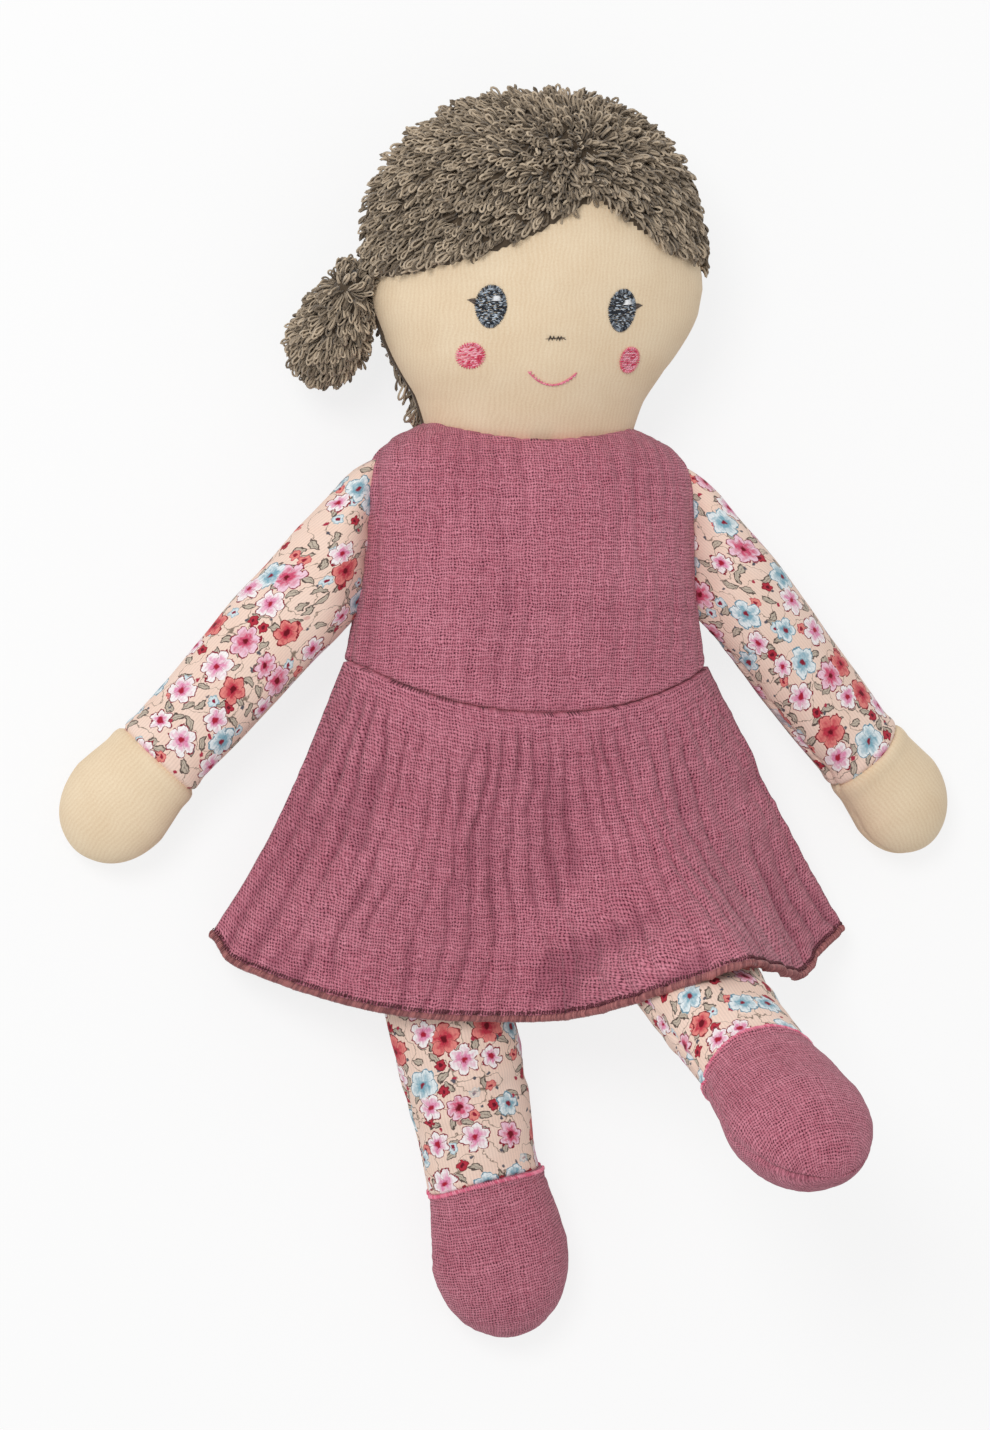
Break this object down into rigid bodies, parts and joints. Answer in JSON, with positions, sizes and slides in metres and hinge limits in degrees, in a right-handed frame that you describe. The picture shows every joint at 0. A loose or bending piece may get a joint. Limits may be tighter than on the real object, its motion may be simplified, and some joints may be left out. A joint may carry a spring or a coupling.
{
  "type": "rag doll",
  "caption": "Soft rag doll lying on its back: floral sleeves and legs, gauze bodice, skirt and shoes, embroidered face, looped hair with a side bunch.",
  "frame": {"origin": "on the surface that the doll lies on, where the back of the bodice rests, 27 mm above the middle of the waist seam", "axes": "+X is the doll's left, +Y is towards the crown of its head, +Z is its front"},
  "size_m": [0.2212, 0.3003, 0.1203],
  "materials": {
    "velour_skin": "matte brushed velour",
    "terry_hair": "long cut and looped terry",
    "gauze_dress": "crinkled double gauze",
    "printed_jersey": "ribbed jersey printed with small flowers",
    "hem_thread": "overlocked polyester thread",
    "fibre_fill": "hollow-fibre stuffing",
    "eye_thread": "satin-stitched thread",
    "white_thread": "satin-stitched thread",
    "brown_thread": "embroidery thread",
    "pink_thread": "satin-stitched thread"
  },
  "bodies": {
    "torso": {"bodice_back": "gauze_dress", "bodice_front": "gauze_dress", "hem_overlock_back": "hem_thread", "hem_overlock_front": "hem_thread", "seat_back": "gauze_dress", "seat_front": "gauze_dress", "skirt_back": "gauze_dress", "skirt_front": "gauze_dress", "torso_stuffing": "fibre_fill"},
    "head": {"cheek_left": "pink_thread", "cheek_right": "pink_thread", "eye_glint_left": "white_thread", "eye_glint_right": "white_thread", "eye_left": "eye_thread", "eye_right": "eye_thread", "eyelash_left": "brown_thread", "eyelash_right": "brown_thread", "face_panel": "velour_skin", "hair_back": "terry_hair", "hair_front": "terry_hair", "head_stuffing": "fibre_fill", "mouth": "pink_thread", "nose": "brown_thread"},
    "hair_bunch": {"hair_bunch_back": "terry_hair", "hair_bunch_front": "terry_hair", "hair_bunch_stuffing": "fibre_fill"},
    "arm_right": {"arm_stuffing_right": "fibre_fill", "hand_back_right": "velour_skin", "hand_front_right": "velour_skin", "sleeve_back_right": "printed_jersey", "sleeve_front_right": "printed_jersey"},
    "arm_left": {"arm_stuffing_left": "fibre_fill", "hand_back_left": "velour_skin", "hand_front_left": "velour_skin", "sleeve_back_left": "printed_jersey", "sleeve_front_left": "printed_jersey"},
    "leg_right": {"leg_back_right": "printed_jersey", "leg_front_right": "printed_jersey", "leg_stuffing_right": "fibre_fill", "shoe_back_right": "gauze_dress", "shoe_front_right": "gauze_dress"},
    "leg_left": {"leg_back_left": "printed_jersey", "leg_front_left": "printed_jersey", "leg_stuffing_left": "fibre_fill", "shoe_back_left": "gauze_dress", "shoe_front_left": "gauze_dress"}
  },
  "joints": [
    {"name": "neck_nod", "type": "hinge", "parent": "torso", "child": "head", "pos_m": [0, 0.0483, 0.023], "axis": [1, 0, 0], "range_deg": [-30, 25]},
    {"name": "bunch_swing", "type": "hinge", "parent": "head", "child": "hair_bunch", "pos_m": [-0.04585, 0.07327, 0.02714], "axis": [0, 0.9865, 0.1637], "range_deg": [-3, 100]},
    {"name": "shoulder_right", "type": "hinge", "parent": "torso", "child": "arm_right", "pos_m": [-0.05394, 0.00006, 0.023], "axis": [0.1392, 0.9903, 0], "range_deg": [-30, 110]},
    {"name": "shoulder_left", "type": "hinge", "parent": "torso", "child": "arm_left", "pos_m": [0.05378, 0.00124, 0.023], "axis": [0.1392, -0.9903, 0], "range_deg": [-30, 110]},
    {"name": "hip_right", "type": "hinge", "parent": "torso", "child": "leg_right", "pos_m": [-0.0245, -0.0673, 0.023], "axis": [-1, 0, 0], "range_deg": [-15, 95], "deforming": ["skirt_front", "skirt_back", "hem_overlock_front", "hem_overlock_back"]},
    {"name": "hip_left", "type": "hinge", "parent": "torso", "child": "leg_left", "pos_m": [0.0245, -0.0673, 0.023], "axis": [-1, 0, 0], "range_deg": [-80, 30], "deforming": ["skirt_front", "skirt_back", "hem_overlock_front", "hem_overlock_back"]}
  ]
}
